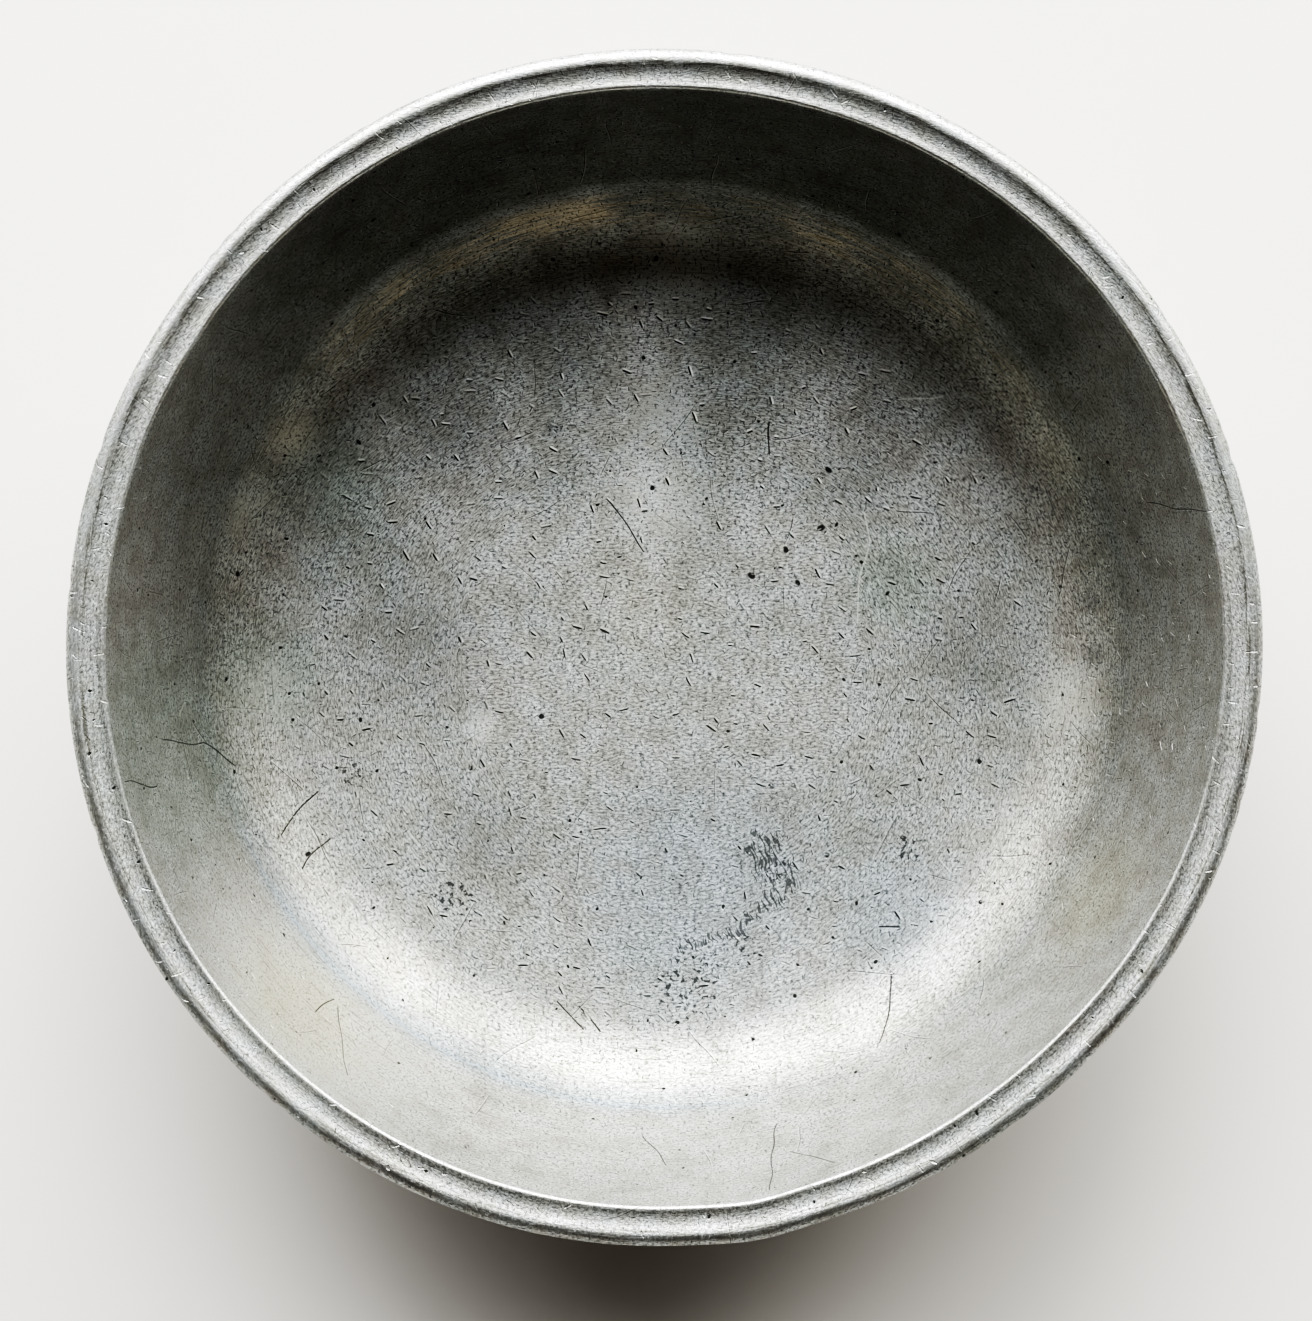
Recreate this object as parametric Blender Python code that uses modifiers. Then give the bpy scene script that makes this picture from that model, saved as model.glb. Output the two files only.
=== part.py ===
"""A pewter basin, eight inches across: one casting, skimmed on a lathe, with a single-reed brim.

The whole piece is one turned section. It starts at the middle of the floor, runs out over the floor,
up the bouge (the curve from floor to side) and the side, over the brim's inner edge, its hollow and
its reed, and comes back underneath to the middle of the base.
The origin is the middle of the base, and +Z is the basin's axis, pointing up.
"""

import math

import bpy

# Driving sizes of the vessel, in metres.
RIM_DIAMETER = 0.2032
HEIGHT = 0.0508
FLOOR_THICKNESS = 0.0017
WALL_THICKNESS = 0.0014
FLAT_FLOOR_RADIUS = 0.0525

# Towards its edge the floor lifts on a very large radius before it turns up into the bouge.
FLOOR_EASE_RADIUS = 0.1500
FLOOR_EASE_SLOPE = math.radians(6)
BOUGE_RADIUS = 0.0200
BOUGE_TOP_SLOPE = math.radians(64)

# The brim, from its inner edge outwards.
BRIM_WIDTH = 0.0064
BRIM_THICKNESS = 0.0027
INNER_EDGE_CHAMFER = 0.0006
INNER_EDGE_DROP = 0.0006
HOLLOW_DEPTH = 0.0003
REED_RADIUS = 0.0020
REED_FOOT_ANGLE = math.radians(115)
LOWER_EDGE_RADIUS = 0.0006
UNDERSIDE_FILLET = 0.0016

# How finely the curves are cut.
TURN_STEPS = 96
EASE_STEPS = 2
BOUGE_STEPS = 8
SIDE_STEPS = 6
HOLLOW_STEPS = 5
REED_STEPS = 9
LOWER_EDGE_STEPS = 3
FILLET_STEPS = 4
MERGE_DISTANCE = 0.00001
SHARP_EDGE_ANGLE = math.radians(32)

# Old pewter, wiped clean: a soft grey with a trace of green, and a satin gloss.
PEWTER_COLOUR = (0.36, 0.37, 0.35, 1.0)
PEWTER_ROUGHNESS = 0.42


def round_arc(centre, radius, first, last, steps):
    """Points on a circle, from the angle first to the angle last, counted from +X."""
    turns = [first + (last - first) * i / steps for i in range(steps + 1)]
    return [(centre[0] + radius * math.cos(t), centre[1] + radius * math.sin(t)) for t in turns]


def rising_arc(centre, radius, first, last, steps):
    """Points on the underside of a circle, from where its slope is first to where it is last."""
    quarter = math.pi / 2
    return round_arc(centre, radius, first - quarter, last - quarter, steps)


def chord(start, end):
    """The length and the slope of the straight line from start to end."""
    across, up = end[0] - start[0], end[1] - start[1]
    return math.hypot(across, up), math.atan2(up, across)


def arc_between(start, slope, end, steps):
    """Points on the arc that leaves start at a given slope and arrives at end. It may be straight."""
    length, direct = chord(start, end)
    half = direct - slope
    points = [start]
    for i in range(1, steps + 1):
        turned = half * i / steps
        share = math.sin(turned) / math.sin(half) if abs(half) > 1e-6 else i / steps
        points.append((start[0] + length * share * math.cos(slope + turned),
                       start[1] + length * share * math.sin(slope + turned)))
    return points


def hollowed(start, end, depth, steps):
    """Points on the arc from start to end that lies below their straight line by depth."""
    length, direct = chord(start, end)
    return arc_between(start, direct - 2 * math.atan(2 * depth / length), end, steps)


def inner_section():
    """The inside of the bowl, from the middle of the floor to the top of the side.

    Also gives the number of the point where the bouge ends and the side begins."""
    ease_centre = (FLAT_FLOOR_RADIUS, FLOOR_THICKNESS + FLOOR_EASE_RADIUS)
    ease = rising_arc(ease_centre, FLOOR_EASE_RADIUS, 0, FLOOR_EASE_SLOPE, EASE_STEPS)
    bouge_centre = (ease[-1][0] - BOUGE_RADIUS * math.sin(FLOOR_EASE_SLOPE),
                    ease[-1][1] + BOUGE_RADIUS * math.cos(FLOOR_EASE_SLOPE))
    bouge = rising_arc(bouge_centre, BOUGE_RADIUS, FLOOR_EASE_SLOPE, BOUGE_TOP_SLOPE, BOUGE_STEPS)
    side = arc_between(bouge[-1], BOUGE_TOP_SLOPE, side_top(), SIDE_STEPS)
    floor_and_bouge = [(0, FLOOR_THICKNESS)] + ease + bouge[1:]
    return floor_and_bouge + side[1:], len(floor_and_bouge) - 1


def inner_edge():
    """The crest between the bowl's side and the brim."""
    return RIM_DIAMETER / 2 - BRIM_WIDTH, HEIGHT - INNER_EDGE_DROP


def side_top():
    """Where the side ends, under the chamfer of the brim's inner edge."""
    radius, height = inner_edge()
    return radius - INNER_EDGE_CHAMFER, height - INNER_EDGE_CHAMFER


def brim_section():
    """The brim: the hollow, the reed, the rounded lower edge and the fillet under it."""
    rim = RIM_DIAMETER / 2
    underside = HEIGHT - BRIM_THICKNESS
    reed = round_arc((rim - REED_RADIUS, HEIGHT - REED_RADIUS), REED_RADIUS,
                     REED_FOOT_ANGLE, 0, REED_STEPS)
    hollow = hollowed(inner_edge(), reed[0], HOLLOW_DEPTH, HOLLOW_STEPS)
    # The lower edge is rounded within what the reed leaves of the brim's thickness.
    rounding = min(LOWER_EDGE_RADIUS, 0.9 * (BRIM_THICKNESS - REED_RADIUS))
    lower_edge = round_arc((rim - rounding, underside + rounding),
                           rounding, 0, -math.pi / 2, LOWER_EDGE_STEPS)
    side_outside = side_top()[0] + WALL_THICKNESS
    fillet = round_arc((side_outside + UNDERSIDE_FILLET, underside - UNDERSIDE_FILLET),
                       UNDERSIDE_FILLET, math.pi / 2, math.pi, FILLET_STEPS)
    return hollow[:-1] + reed + lower_edge + fillet


def outer_section(bouge_top, under_brim):
    """The outside, from under the brim down the side and the bouge to the middle of the base.

    The bouge outside is one arc that meets the side smoothly and runs out flat on the base."""
    start = (bouge_top[0] + WALL_THICKNESS * math.sin(BOUGE_TOP_SLOPE),
             bouge_top[1] - WALL_THICKNESS * math.cos(BOUGE_TOP_SLOPE))
    side = arc_between(start, BOUGE_TOP_SLOPE, under_brim, SIDE_STEPS)
    radius = start[1] / (1 - math.cos(BOUGE_TOP_SLOPE))
    centre = (start[0] - radius * math.sin(BOUGE_TOP_SLOPE), radius)
    bouge = rising_arc(centre, radius, 0, BOUGE_TOP_SLOPE, BOUGE_STEPS)
    rising = [(0, 0)] + bouge + side[1:-1]
    return rising[::-1]


def basin_section():
    """The basin's whole section as (radius, height) points, from the floor round to the base."""
    inside, bouge_top = inner_section()
    brim = brim_section()
    return inside + brim + outer_section(inside[bouge_top], brim[-1])


def pewter():
    """The metal: bare, with no coat."""
    material = bpy.data.materials.new("pewter")
    material.use_nodes = True
    shader = material.node_tree.nodes["Principled BSDF"]
    shader.inputs["Base Color"].default_value = PEWTER_COLOUR
    shader.inputs["Metallic"].default_value = 1.0
    shader.inputs["Roughness"].default_value = PEWTER_ROUGHNESS
    return material


def turned(name, section, material, collection):
    """One round solid: the section turned about the Z axis."""
    outline = bpy.data.meshes.new(name + "_section")
    edges = [(i, i + 1) for i in range(len(section) - 1)]
    outline.from_pydata([(radius, 0, height) for radius, height in section], edges, [])
    blank = bpy.data.objects.new(name + "_section", outline)
    collection.objects.link(blank)
    screw = blank.modifiers.new("turn", "SCREW")
    screw.axis = "Z"
    screw.angle = 2 * math.pi
    screw.steps = screw.render_steps = TURN_STEPS
    screw.use_merge_vertices = True
    screw.merge_threshold = MERGE_DISTANCE
    bpy.context.view_layer.update()
    evaluated = blank.evaluated_get(bpy.context.evaluated_depsgraph_get())
    mesh = bpy.data.meshes.new_from_object(evaluated)
    mesh.name = name
    mesh.shade_smooth()
    mesh.set_sharp_from_angle(angle=SHARP_EDGE_ANGLE)
    mesh.materials.append(material)
    bpy.data.objects.remove(blank)
    bpy.data.meshes.remove(outline)
    piece = bpy.data.objects.new(name, mesh)
    collection.objects.link(piece)
    return piece


def main():
    for old in list(bpy.data.objects):
        bpy.data.objects.remove(old)
    collection = bpy.data.collections.new("pewter_basin")
    bpy.context.scene.collection.children.link(collection)
    turned("basin", basin_section(), pewter(), collection)


main()
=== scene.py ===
"""The looks of an old pewter basin: its worn metal, seen from straight above by window light.

The basin is one casting, so it is one piece here too. Its section is turned by geometry nodes, which
also put in what a long life has done to it: a brim that is knocked out of round, a floor that is no
longer flat, and nicks along the rim. The material adds the lathe's lines, knife marks, pits and stains,
and it paints in light and shade too: highlights on the floor and bouge, a reflection that gleams on
the far bouge and a bluish one on the near side, and shade on the far side and in the brim's creases.
"""
import math
from types import SimpleNamespace

import bpy
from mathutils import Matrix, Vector


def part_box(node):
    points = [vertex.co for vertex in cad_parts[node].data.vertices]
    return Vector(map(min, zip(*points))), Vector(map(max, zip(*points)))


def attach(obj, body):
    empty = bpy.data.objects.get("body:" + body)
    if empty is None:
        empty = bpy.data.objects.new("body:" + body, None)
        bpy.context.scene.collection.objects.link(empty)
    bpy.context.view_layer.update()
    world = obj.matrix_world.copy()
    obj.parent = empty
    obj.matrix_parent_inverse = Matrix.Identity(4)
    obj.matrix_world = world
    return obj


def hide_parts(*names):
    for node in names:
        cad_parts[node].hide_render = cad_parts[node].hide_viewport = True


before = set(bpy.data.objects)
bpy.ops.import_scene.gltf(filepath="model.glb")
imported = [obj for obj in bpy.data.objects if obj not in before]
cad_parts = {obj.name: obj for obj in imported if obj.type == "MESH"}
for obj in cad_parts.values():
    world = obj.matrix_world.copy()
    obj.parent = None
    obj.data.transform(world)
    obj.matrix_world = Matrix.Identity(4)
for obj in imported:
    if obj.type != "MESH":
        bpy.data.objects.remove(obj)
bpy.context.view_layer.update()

MM = 0.001

# The frame gives the size over all; the other sizes are those of the casting's drawing.
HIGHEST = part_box("basin")[1]
RIM_RADIUS = HIGHEST.x
HEIGHT = HIGHEST.z
FLOOR_THICKNESS = 1.7 * MM
WALL_THICKNESS = 1.4 * MM
FLAT_FLOOR_RADIUS = 52.5 * MM
FLOOR_EASE_RADIUS = 150 * MM
FLOOR_EASE_SLOPE = math.radians(6)
BOUGE_RADIUS = 20 * MM
BOUGE_TOP_SLOPE = math.radians(64)
BRIM_WIDTH = 6.4 * MM
BRIM_THICKNESS = 2.7 * MM
INNER_EDGE_CHAMFER = 0.6 * MM
INNER_EDGE_DROP = 0.6 * MM
HOLLOW_DEPTH = 0.3 * MM
REED_RADIUS = 2.0 * MM
REED_FOOT_ANGLE = math.radians(115)
LOWER_EDGE_RADIUS = 0.6 * MM
UNDERSIDE_FILLET = 1.6 * MM

# How finely the turned skin is cut: round the axis, and along each stretch of the section.
CUTS_ROUND = 720
FLOOR_STEPS = 26
EASE_STEPS = 6
BOUGE_STEPS = 18
SIDE_STEPS = 14
NOSE_STEPS = 5
HOLLOW_STEPS = 9
REED_STEPS = 15
LOWER_EDGE_STEPS = 5
FILLET_STEPS = 5
OUTER_STEPS = 10
BASE_STEPS = 3
POLE_WELD = 0.005 * MM
SHARP_EDGE_ANGLE = math.radians(32)

# The photograph's frame, where the basin lies in it, and how far above the rim the camera was.
PHOTO_WIDTH, PHOTO_HEIGHT = 1312, 1321
RIM_CENTRE_PX = (664.0, 648.5)
RIM_WIDTH_PX = 1201.0
CAMERA_HEIGHT = 0.5
SENSOR = 36.0
PX = 2 * RIM_RADIUS / RIM_WIDTH_PX

# Values that the turned skin carries: how far over the skin the axis is, whether a point is outside,
# and where it lies when the skin is rolled out flat.
FROM_AXIS = "from_axis"
IS_OUTSIDE = "is_outside"
UNROLLED = "unrolled"

# The setting of a Map Range node that eases in and out.
SOFTLY = {"interpolation_type": "SMOOTHSTEP"}


def add(tree, kind, inputs=(), **settings):
    """A new node with its settings, and its inputs set or linked, either in order or by name.

    A kind that names no family is a shader node. A node given as an input stands for the first
    output that it has in use."""
    family = "" if kind.startswith(("Geometry", "Function", "NodeGroup")) else "ShaderNode"
    node = tree.nodes.new(family + kind)
    for name, value in settings.items():
        setattr(node, name, value)
    in_use = [socket for socket in node.inputs if socket.enabled]
    pairs = inputs.items() if isinstance(inputs, dict) else enumerate(inputs)
    for key, value in pairs:
        socket = in_use[key] if isinstance(key, int) else next(s for s in in_use if s.name == key)
        if isinstance(value, bpy.types.Node):
            value = next(s for s in value.outputs if s.enabled)
        if isinstance(value, bpy.types.NodeSocket):
            tree.links.new(value, socket)
        else:
            socket.default_value = value
    return node


def joined(tree, operation, values, kind="Math"):
    """One operation run through several values, each taken in as soon as it is made.

    A value may be a group of factors, which are multiplied first."""
    total = None
    for value in values:
        if isinstance(value, tuple) and kind == "Math":
            value = joined(tree, "MULTIPLY", value)
        total = value if total is None else add(tree, kind, (total, value), operation=operation)
    return total


def linear(code):
    """An sRGB hex colour as linear red, green, blue and a full alpha."""
    shares = [int(code[i:i + 2], 16) / 255 for i in (0, 2, 4)]
    return tuple(c / 12.92 if c <= 0.04045 else ((c + 0.055) / 1.055) ** 2.4 for c in shares) + (1.0,)


def placed(name, data):
    """A new object in the scene."""
    thing = bpy.data.objects.new(name, data)
    bpy.context.scene.collection.objects.link(thing)
    return thing


def round_arc(centre, radius, first, last, steps):
    """Points on a circle, from the angle first to the angle last, counted from +X."""
    turns = [first + (last - first) * i / steps for i in range(steps + 1)]
    return [(centre[0] + radius * math.cos(t), centre[1] + radius * math.sin(t)) for t in turns]


def rising_arc(centre, radius, first, last, steps):
    """Points on the underside of a circle, from where its slope is first to where it is last."""
    quarter = math.pi / 2
    return round_arc(centre, radius, first - quarter, last - quarter, steps)


def chord(start, end):
    """The length and the slope of the straight line from start to end."""
    across, up = end[0] - start[0], end[1] - start[1]
    return math.hypot(across, up), math.atan2(up, across)


def straight(start, end, steps):
    """Evenly spaced points from start to end."""
    return [tuple(a + (b - a) * i / steps for a, b in zip(start, end)) for i in range(steps + 1)]


def arc_between(start, slope, end, steps):
    """Points on the arc that leaves start at a given slope and arrives at end. It may be straight."""
    length, direct = chord(start, end)
    half = direct - slope
    if abs(half) < 1e-6:
        return straight(start, end, steps)
    points = [start]
    for i in range(1, steps + 1):
        turned = half * i / steps
        reach = length * math.sin(turned) / math.sin(half)
        points.append((start[0] + reach * math.cos(slope + turned),
                       start[1] + reach * math.sin(slope + turned)))
    return points


def hollowed(start, end, depth, steps):
    """Points on the arc from start to end that lies below their straight line by depth."""
    length, direct = chord(start, end)
    return arc_between(start, direct - 2 * math.atan(2 * depth / length), end, steps)


def inner_section():
    """The inside of the bowl, from the middle of the floor to the top of the side.

    Also gives the number of the point where the bouge ends, and the slope at the top of the side."""
    floor = straight((0, FLOOR_THICKNESS), (FLAT_FLOOR_RADIUS, FLOOR_THICKNESS), FLOOR_STEPS)
    ease_centre = (FLAT_FLOOR_RADIUS, FLOOR_THICKNESS + FLOOR_EASE_RADIUS)
    ease = rising_arc(ease_centre, FLOOR_EASE_RADIUS, 0, FLOOR_EASE_SLOPE, EASE_STEPS)
    bouge_centre = (ease[-1][0] - BOUGE_RADIUS * math.sin(FLOOR_EASE_SLOPE),
                    ease[-1][1] + BOUGE_RADIUS * math.cos(FLOOR_EASE_SLOPE))
    bouge = rising_arc(bouge_centre, BOUGE_RADIUS, FLOOR_EASE_SLOPE, BOUGE_TOP_SLOPE, BOUGE_STEPS)
    side = arc_between(bouge[-1], BOUGE_TOP_SLOPE, side_top(), SIDE_STEPS)
    floor_and_bouge = floor + ease[1:] + bouge[1:]
    end_slope = 2 * chord(side[0], side[-1])[1] - BOUGE_TOP_SLOPE
    return floor_and_bouge + side[1:], len(floor_and_bouge) - 1, end_slope


def inner_edge():
    """The crest between the bowl's side and the brim."""
    return RIM_RADIUS - BRIM_WIDTH, HEIGHT - INNER_EDGE_DROP


def side_top():
    """Where the side ends, under the rounded inner edge of the brim."""
    radius, height = inner_edge()
    return radius - INNER_EDGE_CHAMFER, height - INNER_EDGE_CHAMFER


def brim_section(side_slope):
    """The brim: its worn inner edge, the hollow, the reed, the lower edge and the fillet under it."""
    underside = HEIGHT - BRIM_THICKNESS
    nose = arc_between(side_top(), side_slope, inner_edge(), NOSE_STEPS)
    reed = round_arc((RIM_RADIUS - REED_RADIUS, HEIGHT - REED_RADIUS), REED_RADIUS,
                     REED_FOOT_ANGLE, 0, REED_STEPS)
    hollow = hollowed(inner_edge(), reed[0], HOLLOW_DEPTH, HOLLOW_STEPS)
    lower_edge = round_arc((RIM_RADIUS - LOWER_EDGE_RADIUS, underside + LOWER_EDGE_RADIUS),
                           LOWER_EDGE_RADIUS, 0, -math.pi / 2, LOWER_EDGE_STEPS)
    side_outside = side_top()[0] + WALL_THICKNESS
    fillet = round_arc((side_outside + UNDERSIDE_FILLET, underside - UNDERSIDE_FILLET),
                       UNDERSIDE_FILLET, math.pi / 2, math.pi, FILLET_STEPS)
    return nose[1:-1] + hollow[:-1] + reed + lower_edge + fillet


def outer_section(bouge_top, under_brim):
    """The outside, from under the brim down the side and the bouge to the middle of the base."""
    start = (bouge_top[0] + WALL_THICKNESS * math.sin(BOUGE_TOP_SLOPE),
             bouge_top[1] - WALL_THICKNESS * math.cos(BOUGE_TOP_SLOPE))
    side = arc_between(start, BOUGE_TOP_SLOPE, under_brim, OUTER_STEPS)
    radius = start[1] / (1 - math.cos(BOUGE_TOP_SLOPE))
    centre = (start[0] - radius * math.sin(BOUGE_TOP_SLOPE), radius)
    bouge = rising_arc(centre, radius, 0, BOUGE_TOP_SLOPE, OUTER_STEPS)
    rising = straight((0, 0), bouge[0], BASE_STEPS) + bouge[1:] + side[1:-1]
    return rising[::-1]


def basin_section():
    """The whole section as (radius, height) points, from the floor's middle round to the base's."""
    inside, bouge_top, side_slope = inner_section()
    brim = brim_section(side_slope)
    return inside + brim + outer_section(inside[bouge_top], brim[-1])


def camera_place():
    """Straight above the basin, a little off its axis, as the rim lies in the photograph's frame."""
    return Vector(((PHOTO_WIDTH / 2 - RIM_CENTRE_PX[0]) * PX,
                   (RIM_CENTRE_PX[1] - PHOTO_HEIGHT / 2) * PX, HEIGHT + CAMERA_HEIGHT))


def sight(pixel, height):
    """The level place, in metres from the axis, that a pixel of the photograph shows at a height."""
    scale = PX * (CAMERA_HEIGHT + HEIGHT - height) / CAMERA_HEIGHT
    eye = camera_place()
    return eye.x + (pixel[0] - PHOTO_WIDTH / 2) * scale, eye.y - (pixel[1] - PHOTO_HEIGHT / 2) * scale


# Where the brim is out of round: clockwise from the photograph's top, how wide, how far outwards.
KNOCKED_IN = (math.radians(142), math.radians(17), -1.35 * MM)
SMALL_BULGE = (math.radians(171), math.radians(3), 0.5 * MM)
SPREAD_RIGHT = (math.radians(48), math.radians(24), 0.6 * MM)
SPREAD_LEFT = (math.radians(333), math.radians(20), 0.6 * MM)
BENT_FROM_HEIGHT = 14 * MM

# The basin's underside stays flat: what bends the floor is felt more and more between these heights.
FELT_FROM, FELT_TO = 0.2 * FLOOR_THICKNESS, 0.9 * FLOOR_THICKNESS

# How far from the rim, at most, lies the middle of what has nicked it.
NICK_STAND_OFF = 0.9 * MM

# Dents in the floor: place in the photograph, radius and depth.
DENTS = {
    "small ding left of the middle": ((480, 722), 5.5 * MM, 0.16 * MM),
    "shallow dish above the middle": ((655, 450), 21 * MM, 0.14 * MM),
    "shallow dish below the middle": ((700, 905), 26 * MM, 0.25 * MM),
    "dent at the floor's right edge": ((985, 800), 14 * MM, 0.22 * MM),
}


def skin_direction(tree):
    """The level direction from the axis to each point of the skin."""
    place = add(tree, "GeometryNodeInputPosition")
    level = add(tree, "VectorMath", (place, (1, 1, 0)), operation="MULTIPLY")
    return add(tree, "VectorMath", (level,), operation="NORMALIZE")


def height_share(tree, low, high):
    """From 0 to 1 as a point of the skin rises from low to high."""
    place = add(tree, "GeometryNodeInputPosition")
    parts = add(tree, "SeparateXYZ", (place,))
    return add(tree, "MapRange", (parts.outputs["Z"], low, high, 0.0, 1.0), **SOFTLY)


def out_of_round(tree, outwards, strength):
    """How each point of the wall moves where the brim has been knocked in or has spread."""
    pushes = []
    for angle, width, depth in (KNOCKED_IN, SMALL_BULGE, SPREAD_RIGHT, SPREAD_LEFT):
        middle = (math.sin(angle), math.cos(angle), 0)
        facing = add(tree, "VectorMath", (outwards, middle), operation="DOT_PRODUCT")
        fall = joined(tree, "ADD", (facing, -1.0))
        wide = joined(tree, "DIVIDE", (fall, width ** 2))
        near = add(tree, "Math", (wide,), operation="EXPONENT")
        pushes.append((near, depth))
    push = joined(tree, "ADD", pushes)
    felt = joined(tree, "MULTIPLY", (push, height_share(tree, BENT_FROM_HEIGHT, HEIGHT), strength))
    return add(tree, "VectorMath", {"Vector": outwards, "Scale": felt}, operation="SCALE")


def dented_floor(tree, strength):
    """How each point of the floor sinks in the dents. The flat underside stays as it is."""
    place = add(tree, "GeometryNodeInputPosition")
    level = add(tree, "VectorMath", (place, (1, 1, 0)), operation="MULTIPLY")
    dents = []
    for pixel, radius, depth in DENTS.values():
        centre = (*sight(pixel, FLOOR_THICKNESS), 0)
        away = add(tree, "VectorMath", (level, centre), operation="DISTANCE")
        dents.append(add(tree, "MapRange", (away, 0.0, radius, -depth, 0.0), **SOFTLY))
    sunk = joined(tree, "ADD", dents)
    felt = joined(tree, "MULTIPLY", (sunk, height_share(tree, FELT_FROM, FELT_TO), strength))
    return add(tree, "VectorMath", {"Vector": (0, 0, 1), "Scale": felt}, operation="SCALE")


def hand_waviness(tree, size, depth, seed):
    """How the thin wall and floor have gone wavy. The flat underside stays as it is."""
    place = add(tree, "GeometryNodeInputPosition")
    moved = add(tree, "VectorMath", (place, seed), operation="ADD")
    pitch = joined(tree, "DIVIDE", (1.0, size))
    noise = add(tree, "TexNoise", {"Vector": moved, "Scale": pitch, "Detail": 1.0})
    centred = add(tree, "VectorMath", (noise.outputs["Color"], (0.5, 0.5, 0.5)), operation="SUBTRACT")
    reach = joined(tree, "MULTIPLY", (depth, height_share(tree, FELT_FROM, FELT_TO), 2.0))
    return add(tree, "VectorMath", {"Vector": centred, "Scale": reach}, operation="SCALE")


def rim_nicks(tree, outwards, count, reach, depth, seed):
    """How the outer edge gives way where something has struck it: places strewn round the rim."""
    ranges = ((0.0, 2 * math.pi), (HEIGHT - BRIM_THICKNESS, HEIGHT),
              (RIM_RADIUS, RIM_RADIUS + NICK_STAND_OFF))
    draws = []
    for step, (least, most) in enumerate(ranges):
        own_seed = joined(tree, "ADD", (seed, float(step)))
        draws.append(add(tree, "FunctionNodeRandomValue", {"Min": least, "Max": most, "Seed": own_seed}))
    angle, height, away = draws
    sideways = add(tree, "Math", (angle,), operation="COSINE")
    forwards = add(tree, "Math", (angle,), operation="SINE")
    x, y = (joined(tree, "MULTIPLY", (way, away)) for way in (sideways, forwards))
    struck = add(tree, "CombineXYZ", (x, y, height))
    points = add(tree, "GeometryNodePoints", {"Count": count, "Position": struck})
    near = add(tree, "GeometryNodeProximity", {"Geometry": points}, target_element="POINTS")
    sunk = add(tree, "MapRange", (near.outputs["Distance"], 0.0, reach, depth, 0.0), **SOFTLY)
    inwards = joined(tree, "MULTIPLY", (sunk, -1.0))
    return add(tree, "VectorMath", {"Vector": outwards, "Scale": inwards}, operation="SCALE")


# What the tree is told, by name: the kind of socket and the value.
TREE_INPUTS = {
    "Rim Radius": ("NodeSocketFloat", RIM_RADIUS),
    "Cuts Round": ("NodeSocketInt", CUTS_ROUND),
    "Out of Round": ("NodeSocketFloat", 1.0),
    "Dents": ("NodeSocketFloat", 1.0),
    "Wave Length": ("NodeSocketFloat", 38 * MM),
    "Wave Depth": ("NodeSocketFloat", 0.22 * MM),
    "Nick Count": ("NodeSocketInt", 34),
    "Nick Reach": ("NodeSocketFloat", 1.9 * MM),
    "Nick Depth": ("NodeSocketFloat", 0.34 * MM),
    "Seed": ("NodeSocketInt", 8),
    "Metal": ("NodeSocketMaterial", None),
}


def marked_section(tree, section):
    """Stores on the section how far over the skin the axis is, and 1 on the basin's outside."""
    along = add(tree, "GeometryNodeSplineParameter").outputs["Length"]
    whole = add(tree, "GeometryNodeSplineLength")
    back = joined(tree, "SUBTRACT", (whole, along))
    nearer = joined(tree, "MINIMUM", (along, back))
    beyond = joined(tree, "GREATER_THAN", (along, back))
    for name, value in ((FROM_AXIS, nearer), (IS_OUTSIDE, beyond)):
        stored = {"Geometry": section, "Name": name, "Value": value}
        section = add(tree, "GeometryNodeStoreNamedAttribute", stored, data_type="FLOAT", domain="POINT")
    return section


def mapped_skin(tree, skin, outwards):
    """Stores where each point lies when the skin is rolled out flat, and in Z whether it is outside."""
    rolled, outside = (add(tree, "GeometryNodeInputNamedAttribute", {"Name": name}, data_type="FLOAT")
                       for name in (FROM_AXIS, IS_OUTSIDE))
    level = add(tree, "VectorMath", {"Vector": outwards, "Scale": rolled}, operation="SCALE")
    side = add(tree, "CombineXYZ", (0.0, 0.0, outside))
    flat = add(tree, "VectorMath", (level, side), operation="ADD")
    stored = {"Geometry": skin, "Name": UNROLLED, "Value": flat}
    return add(tree, "GeometryNodeStoreNamedAttribute", stored, data_type="FLOAT_VECTOR", domain="POINT")


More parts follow.
